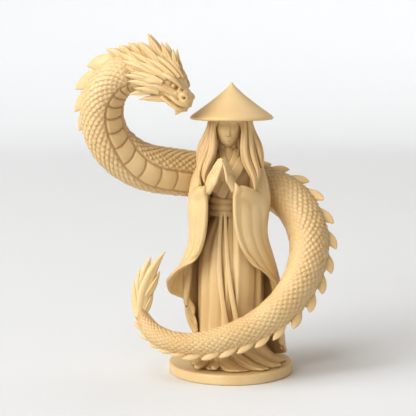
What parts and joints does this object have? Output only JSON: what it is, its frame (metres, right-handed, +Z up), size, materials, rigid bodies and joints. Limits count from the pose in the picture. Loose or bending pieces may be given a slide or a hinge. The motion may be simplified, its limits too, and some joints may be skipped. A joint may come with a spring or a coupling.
{
  "type": "dragon statue",
  "caption": "Small standing statue of a scaled wingless dragon coiled round a robed figure in a wide conical hat, on a round plinth.",
  "frame": {"origin": "centre of the plinth's flat underside, where the statue stands", "axes": "+Z up through the figure, -Y the way the figure faces, +X to the right of someone who looks at its front"},
  "size_m": [0.0998, 0.0545, 0.1302],
  "materials": {
    "carving": "satin cast resin in a boxwood cream, warmer and darker in the hollows",
    "plinth": "satin cast resin in a boxwood cream"
  },
  "bodies": {
    "root": {"figure_and_dragon": "carving", "plinth": "plinth"}
  },
  "joints": []
}
